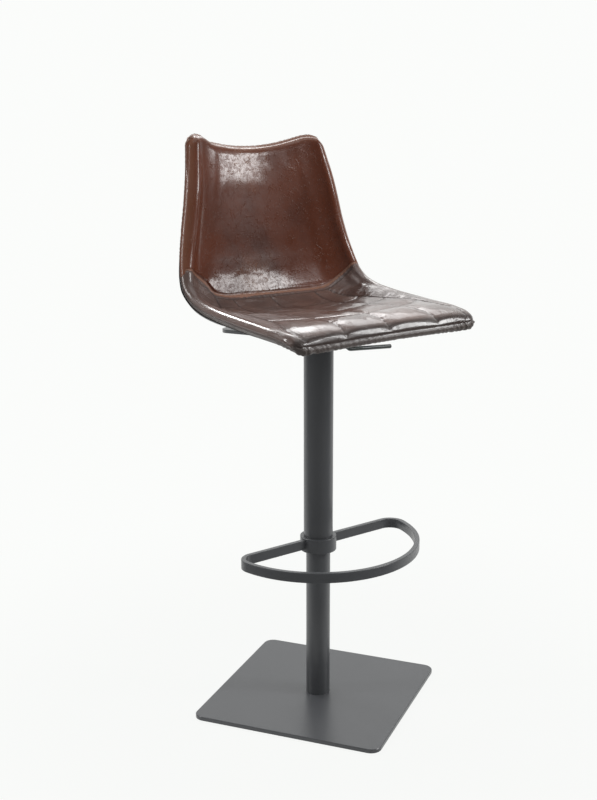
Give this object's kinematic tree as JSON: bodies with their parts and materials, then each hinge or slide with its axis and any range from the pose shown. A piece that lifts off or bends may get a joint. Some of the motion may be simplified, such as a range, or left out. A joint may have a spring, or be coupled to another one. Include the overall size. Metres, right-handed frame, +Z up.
{
  "type": "swivel bar stool",
  "caption": "Swivel bar stool with a stitched leather bucket seat, notched back, sleeved gas-lift column, half-round footrest and square plate base.",
  "frame": {"origin": "on the floor at the column axis", "axes": "+Z up along the column, -Y the way the sitter faces, +X the side of the height lever"},
  "size_m": [0.5334, 0.5334, 1.1632],
  "materials": {
    "powder_coat": "matte powder coat",
    "lever_coat": "satin powder coat",
    "cylinder_steel": "satin black paint",
    "rod_chrome": "polished",
    "fastener_steel": "zinc plated",
    "bearing_steel": "ground and greased",
    "cage_plastic": "natural nylon",
    "glide_plastic": "moulded black",
    "seal_rubber": "matte",
    "shell_wood": "sanded plywood",
    "cover_fabric": "grained, dark",
    "seat_leather": "waxed, dark brown, glossy",
    "back_leather": "waxed, warm brown, glossy"
  },
  "bodies": {
    "base": {"base_plate": "powder_coat", "base_glides": "glide_plastic", "base_bolts": "fastener_steel", "column_foot": "powder_coat", "column_tube": "powder_coat", "column_guide_bush": "glide_plastic", "bearing_lower_race": "bearing_steel"},
    "thrust_bearing": {"bearing_cage": "cage_plastic", "bearing_balls": "bearing_steel"},
    "rod": {"piston_rod": "rod_chrome", "rod_clip": "fastener_steel", "bump_stop": "seal_rubber", "bearing_upper_race": "bearing_steel", "rod_piston": "cylinder_steel", "piston_ring": "seal_rubber", "piston_nut": "fastener_steel"},
    "lift": {"gas_cylinder": "cylinder_steel", "cylinder_gland": "cylinder_steel", "rod_seal": "seal_rubber", "valve_body": "cylinder_steel", "taper_hub": "powder_coat", "sleeve_tube": "powder_coat", "sleeve_guide_ring": "glide_plastic", "footrest_collar": "powder_coat", "collar_set_screws": "fastener_steel", "footrest_loop": "powder_coat", "mount_plate": "powder_coat", "lever_channel": "powder_coat", "lever_pin": "fastener_steel", "lever_pin_clip": "fastener_steel", "seat_shell": "shell_wood", "seat_pad": "seat_leather", "back_pad": "back_leather", "rear_cover": "cover_fabric", "seat_bolts": "fastener_steel", "seat_washers": "fastener_steel", "seat_spacers": "fastener_steel", "tee_nuts": "fastener_steel"},
    "lever": {"height_lever": "lever_coat"},
    "pin": {"release_pin": "rod_chrome"}
  },
  "joints": [
    {"name": "seat_swivel", "type": "hinge", "parent": "base", "child": "rod", "pos_m": [0, 0, 0.04], "axis": [0, 0, 1], "continuous": true},
    {"name": "bearing_orbit", "type": "hinge", "parent": "base", "child": "thrust_bearing", "pos_m": [0, 0, 0.04], "axis": [0, 0, 1], "continuous": true},
    {"name": "seat_lift", "type": "slide", "parent": "rod", "child": "lift", "axis": [0, 0, 1], "range_m": [-0.22, 0]},
    {"name": "lever_pull", "type": "hinge", "parent": "lift", "child": "lever", "pos_m": [0.03, 0, 0.7758], "axis": [0, -1, 0], "range_deg": [0, 6.8], "stiffness_Nm_per_rad": 3, "springref_deg": -8.59},
    {"name": "release_pin_travel", "type": "slide", "parent": "lift", "child": "pin", "axis": [0, 0, -1], "range_m": [0, 0.0042]}
  ],
  "couplings": [
    {"joint": "bearing_orbit", "follows": "seat_swivel", "ratio": 0.5},
    {"joint": "release_pin_travel", "follows": "lever_pull", "m_per_rad": 0.034}
  ]
}
